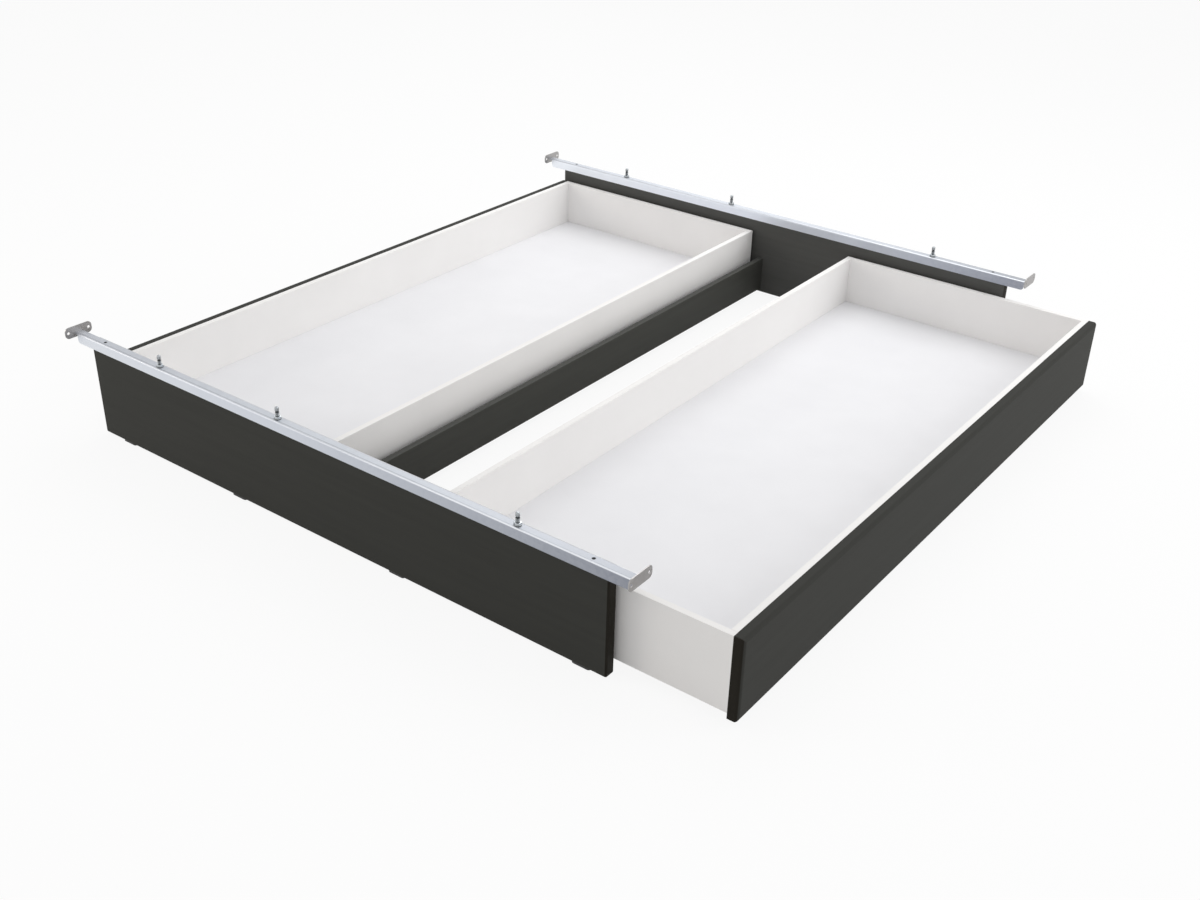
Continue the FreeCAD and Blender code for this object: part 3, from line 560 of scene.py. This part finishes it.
def cross_recess(mesh, rim, height, arm, half_width, depth):
    """Closes a flat head inside its rim with a cross-shaped socket that narrows towards its floor."""
    def outline(scale, level):
        a, w = arm * scale, half_width * scale
        spots = [(a, -w), (a, w), (w, w), (w, a), (-w, a), (-w, w),
                 (-a, w), (-a, -w), (-w, -w), (-w, -a), (w, -a), (w, -w)]
        return [mesh.verts.new((x, y, level)) for x, y in spots]
    mouth = outline(1.0, height)
    floor = outline(RECESS_FLOOR_SHARE, height - depth)
    edges = []
    for loop in (rim, mouth):
        for first, second in zip(loop, loop[1:] + loop[:1]):
            edges.append(mesh.edges.get((first, second)) or mesh.edges.new((first, second)))
    bmesh.ops.triangle_fill(mesh, use_beauty=True, edges=edges, normal=(0, 0, 1))
    bridge(mesh, mouth, floor)
    middle = mesh.verts.new((0, 0, height - depth - RECESS_FLOOR_DIP))
    bridge(mesh, floor, [middle])


# Studs and nuts, with the top of the rail's web at height nil

STUD_SIDES = 28
STUD_RADIUS = 4.95
STUD_RISE = 31.0
STUD_TIP_BEND = 3.0
WEB_THICKNESS = 2.5
STUD_HEAD_RADIUS = 7.0
STUD_HEAD_HEIGHT = 2.5
STUD_HEAD_BEVEL = 0.4
THREAD_DEPTH = 0.85
THREAD_PITCH = 1.5
THREAD_LOW = 6.2
THREAD_HIGH = 17.4
THREAD_RUN_IN = 0.2
NECK_RADIUS = 3.5
NECK_LOW = 18.2
NECK_HIGH = 20.8
NECK_SLOPE = 0.2
SHOULDER_RADIUS = 4.5
SHOULDER_HEIGHT = 0.6

NUT_SIDES = 48
NUT_ACROSS = 15.0
NUT_HEIGHT = 7.0
NUT_SIDE_LOW = 2.2
NUT_FILLET = 0.25
NUT_LAND_RADIUS = 7.25
NUT_CORNER_SLOPE = math.tan(math.pi / 6)
NUT_BORE_RADIUS = 5.02
NUT_MOUTH_RADIUS = 5.5
NUT_MOUTH_DEPTH = 0.5
NUT_FOOT_RADIUS = 5.4
NUT_FOOT_DEPTH = 0.4
FLANGE_RADIUS = 9.0
FLANGE_BEVEL = 0.4
FLANGE_EDGE = 1.1
FLANGE_TOP = 1.9


def stud(mesh):
    """Pressed head under the web, thread above the nut, turned neck and rounded free end."""
    seat = -WEB_THICKNESS
    bottom = seat - STUD_HEAD_HEIGHT
    profile = [(0, bottom), (STUD_HEAD_RADIUS - STUD_HEAD_BEVEL, bottom),
               (STUD_HEAD_RADIUS, bottom + STUD_HEAD_BEVEL), (STUD_HEAD_RADIUS, seat),
               (STUD_RADIUS, seat), (STUD_RADIUS, THREAD_LOW - THREAD_RUN_IN)]
    profile += thread(STUD_RADIUS, THREAD_DEPTH, THREAD_PITCH, THREAD_LOW, THREAD_HIGH)
    profile += [(STUD_RADIUS, NECK_LOW - SHOULDER_HEIGHT), (SHOULDER_RADIUS, NECK_LOW - NECK_SLOPE),
                (NECK_RADIUS, NECK_LOW), (NECK_RADIUS, NECK_HIGH),
                (SHOULDER_RADIUS, NECK_HIGH + NECK_SLOPE), (STUD_RADIUS, NECK_HIGH + SHOULDER_HEIGHT)]
    profile += corner_arc(STUD_RADIUS, STUD_RISE, STUD_TIP_BEND)
    profile += [(0, STUD_RISE)]
    turned(mesh, STUD_SIDES, profile)


def flange_nut(mesh):
    """A hexagon with bevelled corners on a round flange, bored for the stud."""
    side = hexagon(NUT_ACROSS)

    def fillet(turn):
        return side(turn) + NUT_FILLET

    def corner_top(turn):
        return NUT_HEIGHT - (side(turn) - NUT_LAND_RADIUS) * NUT_CORNER_SLOPE

    profile = [(NUT_FOOT_RADIUS, 0.0), (FLANGE_RADIUS - FLANGE_BEVEL, 0.0), (FLANGE_RADIUS, FLANGE_BEVEL),
               (FLANGE_RADIUS, FLANGE_EDGE), (fillet, FLANGE_TOP), (side, NUT_SIDE_LOW), (side, corner_top),
               (NUT_LAND_RADIUS, NUT_HEIGHT), (NUT_MOUTH_RADIUS, NUT_HEIGHT),
               (NUT_BORE_RADIUS, NUT_HEIGHT - NUT_MOUTH_DEPTH), (NUT_BORE_RADIUS, NUT_FOOT_DEPTH)]
    rows = turned(mesh, NUT_SIDES, profile)
    bridge(mesh, rows[-1], rows[0])


# Screws: a countersunk one has the top of its head at height nil, and a pan-head one its seat

SCREW_SIDES = 24
SUNK_TURN = math.radians(20)
SUNK_LENGTH = 40.0
SUNK_POINT = 2.5
SUNK_POINT_RADIUS = 1.2
SUNK_TAPER = 7.0
SUNK_SHANK_RADIUS = 2.45
SUNK_CONE = 2.1
SUNK_HEAD_RADIUS = 4.3
SUNK_RIM_RADIUS = 4.42
SUNK_RIM_LOW = 0.22
SUNK_RIM_HIGH = 0.08
SUNK_RECESS_ARM = 2.5
SUNK_RECESS_HALF_WIDTH = 0.6
SUNK_RECESS_DEPTH = 1.8

# Pan-head screws by the ending of their node's name: diameter, length, head's diameter and head's height
PAN_SCREWS = {
    "angle_screws": (4, 14, 8, 2.4),
    "front_screws": (4, 32, 8, 2.4),
    "housing_screws": (3.5, 14, 7, 2),
}
PAN_PLAY = 0.02
PAN_POINT = 1.4
PAN_POINT_SHARE = 0.5
PAN_TAPER = 3.0
PAN_FLAT_SHARE = 0.3
PAN_EDGE_SHARE = 0.35
PAN_DOME_STEPS = 5
PAN_RECESS_ARM_SHARE = 0.25
PAN_RECESS_WIDTH_SHARE = 0.07
PAN_RECESS_DEPTH_SHARE = 0.62


def rail_screw(mesh):
    """A countersunk screw with a tapered point and a cross recess."""
    profile = [(0, -SUNK_LENGTH), (SUNK_POINT_RADIUS, SUNK_POINT - SUNK_LENGTH),
               (SUNK_SHANK_RADIUS, SUNK_TAPER - SUNK_LENGTH), (SUNK_SHANK_RADIUS, -SUNK_CONE),
               (SUNK_HEAD_RADIUS, -SUNK_RIM_LOW), (SUNK_RIM_RADIUS, -SUNK_RIM_HIGH), (SUNK_HEAD_RADIUS, 0.0)]
    rows = turned(mesh, SCREW_SIDES, profile)
    cross_recess(mesh, rows[-1], 0.0, SUNK_RECESS_ARM, SUNK_RECESS_HALF_WIDTH, SUNK_RECESS_DEPTH)


def pan_screw(diameter, length, head, height):
    """A builder for a pan-head screw with a domed head and a cross recess."""
    def build(mesh):
        shank = diameter / 2 - PAN_PLAY
        rim = head / 2
        flat = head * PAN_FLAT_SHARE
        profile = [(0, -length), (shank * PAN_POINT_SHARE, PAN_POINT - length), (shank, PAN_TAPER - length),
                   (shank, 0), (rim, 0), (rim, height * PAN_EDGE_SHARE)]
        for step in range(1, PAN_DOME_STEPS + 1):
            turn = math.pi / 2 * step / PAN_DOME_STEPS
            level = PAN_EDGE_SHARE + (1 - PAN_EDGE_SHARE) * math.sin(turn)
            profile.append((flat + (rim - flat) * math.cos(turn), height * level))
        rows = turned(mesh, SCREW_SIDES, profile)
        cross_recess(mesh, rows[-1], height, head * PAN_RECESS_ARM_SHARE, head * PAN_RECESS_WIDTH_SHARE,
                     height * PAN_RECESS_DEPTH_SHARE)
    return build


# Places of the fasteners, from the solids that they replace

MERGE_DISTANCE = 0.001 * MM
SHARP_ANGLE = math.radians(32)


def connected(mesh):
    """The corners of each separate solid in a mesh."""
    seen = set()
    for start in mesh.verts:
        if start in seen:
            continue
        seen.add(start)
        group, queue = [], [start]
        while queue:
            vert = queue.pop()
            group.append(vert.co.copy())
            for edge in vert.link_edges:
                other = edge.other_vert(vert)
                if other not in seen:
                    seen.add(other)
                    queue.append(other)
        yield group


def parts_of(label):
    """The separate solids of one node: the middle, the axis towards the head, and half the length of each."""
    copy = bmesh.new()
    copy.from_mesh(nodes[label].data)
    bmesh.ops.remove_doubles(copy, verts=copy.verts, dist=MERGE_DISTANCE)
    found = []
    for group in connected(copy):
        low = Vector([min(spot[axis] for spot in group) for axis in range(3)])
        high = Vector([max(spot[axis] for spot in group) for axis in range(3)])
        span = high - low
        middle = (low + high) / 2
        longest = max(range(3), key=lambda axis: span[axis])
        across = [axis for axis in range(3) if axis != longest]
        widest = max(group, key=lambda spot: sum((spot[axis] - middle[axis]) ** 2 for axis in across))
        heading = Vector((0, 0, 0))
        heading[longest] = 1.0 if widest[longest] > middle[longest] else -1.0
        found.append((middle, heading, span[longest] / 2))
    copy.free()
    return found


def upright(label, level, turn=0.0):
    """Places on the vertical axes of a node's solids, at one height, turned about the vertical."""
    return [Matrix.Translation((middle.x, middle.y, level)) @ Matrix.Rotation(turn, 4, "Z")
            for middle, heading, half in parts_of(label)]


def at_seats(label, head_height):
    """Places at the seats of screws that point any way."""
    places = []
    for middle, heading, half in parts_of(label):
        seat = middle + heading * (half - head_height * MM)
        places.append(Matrix.Translation(seat) @ heading.to_track_quat("Z", "Y").to_matrix().to_4x4())
    return places


def make_piece(label, build, places):
    """One piece for a whole node: a copy at each place, smooth but for its sharp edges."""
    mesh = bmesh.new()
    for place in places:
        single = bmesh.new()
        build(single)
        bmesh.ops.recalc_face_normals(single, faces=single.faces)
        single.transform(place @ Matrix.Scale(MM, 4))
        data = bpy.data.meshes.new("copy")
        single.to_mesh(data)
        single.free()
        mesh.from_mesh(data)
        bpy.data.meshes.remove(data)
    for face in mesh.faces:
        face.smooth = True
    for edge in mesh.edges:
        edge.smooth = edge.calc_face_angle(math.pi) < SHARP_ANGLE
    data = bpy.data.meshes.new(f"{label}_detail")
    mesh.to_mesh(data)
    mesh.free()
    piece = bpy.data.objects.new(f"{label}_detail", data)
    bpy.context.collection.objects.link(piece)
    dress(piece, finish_of(label))
    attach(piece, carriers[label])
    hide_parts(label)


for end in ("foot", "head"):
    web_top = highest(f"{end}_cross_rail", "Z")
    make_piece(f"{end}_rail_studs", stud, upright(f"{end}_rail_studs", web_top))
    make_piece(f"{end}_rail_nuts", flange_nut, upright(f"{end}_rail_nuts", web_top))
    make_piece(f"{end}_rail_screws", rail_screw, upright(f"{end}_rail_screws", web_top, SUNK_TURN))
for label in slots:
    for ending, (diameter, length, head, height) in PAN_SCREWS.items():
        if label.endswith(ending):
            make_piece(label, pan_screw(diameter, length, head, height), at_seats(label, height))


# Stage

FLOOR_SIZE = 300.0
FLOOR_DROP = 0.2 * MM
FLOOR_COLOUR = (0.85, 0.85, 0.85, 1.0)
GLOW_SHARE = 0.9
WORLD_COLOUR = (0.66, 0.66, 0.66, 1.0)
BACKGROUND_COLOUR = (1.0, 1.0, 1.0, 1.0)


def rays_that_see_white(tree):
    """One for camera, glossy and transmission rays, and nil for the rest."""
    path = tree.nodes.new("ShaderNodeLightPath")
    seen = path.outputs["Is Camera Ray"]
    for ray in ("Is Glossy Ray", "Is Transmission Ray"):
        either = tree.nodes.new("ShaderNodeMath")
        either.operation = "MAXIMUM"
        tree.links.new(seen, either.inputs[0])
        tree.links.new(path.outputs[ray], either.inputs[1])
        seen = either.outputs[0]
    return seen


def mix_shaders(tree, factor, first, second, output):
    """Leads two shaders, mixed by a factor, to the output."""
    mix = tree.nodes.new("ShaderNodeMixShader")
    tree.links.new(factor, mix.inputs["Fac"])
    tree.links.new(first.outputs[0], mix.inputs[1])
    tree.links.new(second.outputs[0], mix.inputs[2])
    tree.links.new(mix.outputs[0], output.inputs["Surface"])


def set_stage():
    """A pale floor that is nearly white to the camera and keeps a faint shadow."""
    bpy.ops.mesh.primitive_plane_add(size=FLOOR_SIZE, location=(0, 0, -FLOOR_DROP))
    floor = bpy.context.object
    floor.name = "floor"
    material = bpy.data.materials.new("floor")
    material.use_nodes = True
    tree = material.node_tree
    tree.nodes.clear()
    output = tree.nodes.new("ShaderNodeOutputMaterial")
    paper = tree.nodes.new("ShaderNodeBsdfDiffuse")
    paper.inputs["Color"].default_value = FLOOR_COLOUR
    glow = tree.nodes.new("ShaderNodeEmission")
    share = tree.nodes.new("ShaderNodeMath")
    share.operation = "MULTIPLY"
    share.inputs[1].default_value = GLOW_SHARE
    tree.links.new(rays_that_see_white(tree), share.inputs[0])
    mix_shaders(tree, share.outputs[0], paper, glow, output)
    floor.data.materials.append(material)


def set_world():
    """Even grey light from all round, behind a white background."""
    world = bpy.data.worlds.new("studio")
    bpy.context.scene.world = world
    world.use_nodes = True
    tree = world.node_tree
    tree.nodes.clear()
    light = tree.nodes.new("ShaderNodeBackground")
    light.inputs["Color"].default_value = WORLD_COLOUR
    white = tree.nodes.new("ShaderNodeBackground")
    white.inputs["Color"].default_value = BACKGROUND_COLOUR
    output = tree.nodes.new("ShaderNodeOutputWorld")
    mix_shaders(tree, rays_that_see_white(tree), light, white, output)


# Lamps and camera

LAMP_AIM = Vector((0, 0, 0.1))
WARM_LIGHT = (1.0, 0.93, 0.86)
LAMPS = {
    "left_front": {"spot": (-3.2, -3.2, 1.4), "side": 1.6, "power": 34.0, "tint": WARM_LIGHT},
    "top": {"spot": (-0.4, 1.7, 2.7), "side": 2.4, "power": 34.0, "tint": WHITE},
    "back_right": {"spot": (4.2, 2.4, 2.4), "side": 3.0, "power": 82.0, "tint": WHITE},
    "back_left": {"spot": (-2.6, 3.6, 2.6), "side": 2.4, "power": 12.0, "tint": WHITE},
}
SENSOR_WIDTH = 36.0
FOCAL_LENGTH = 41.244
FAR_CLIP = 200.0
CAMERA_SPOT = (2.0144, -2.8039, 1.7913)
CAMERA_FORWARD = (-0.51495, 0.70376, -0.48943)
CAMERA_RIGHT = (0.79859, 0.60138, 0.02451)


def set_lamps():
    """Soft square lamps that face the middle of the object."""
    for name, lamp in LAMPS.items():
        data = bpy.data.lights.new(name, "AREA")
        data.shape = "SQUARE"
        data.size = lamp["side"]
        data.energy = lamp["power"]
        data.color = lamp["tint"]
        light = bpy.data.objects.new(name, data)
        light.location = lamp["spot"]
        light.rotation_euler = (LAMP_AIM - Vector(lamp["spot"])).to_track_quat("-Z", "Y").to_euler()
        bpy.context.collection.objects.link(light)


def set_camera():
    """The photograph's camera, from its own straight edges and corners."""
    data = bpy.data.cameras.new("camera")
    data.sensor_fit = "HORIZONTAL"
    data.sensor_width = SENSOR_WIDTH
    data.lens = FOCAL_LENGTH
    data.clip_end = FAR_CLIP
    camera = bpy.data.objects.new("camera", data)
    bpy.context.collection.objects.link(camera)
    forward = Vector(CAMERA_FORWARD).normalized()
    right = Vector(CAMERA_RIGHT)
    right = (right - right.dot(forward) * forward).normalized()
    up = right.cross(forward)
    turn = Matrix((right, up, -forward)).transposed().to_4x4()
    camera.matrix_world = Matrix.Translation(CAMERA_SPOT) @ turn
    bpy.context.scene.camera = camera


set_stage()
set_world()
set_lamps()
set_camera()
bpy.context.scene.view_settings.view_transform = "Standard"
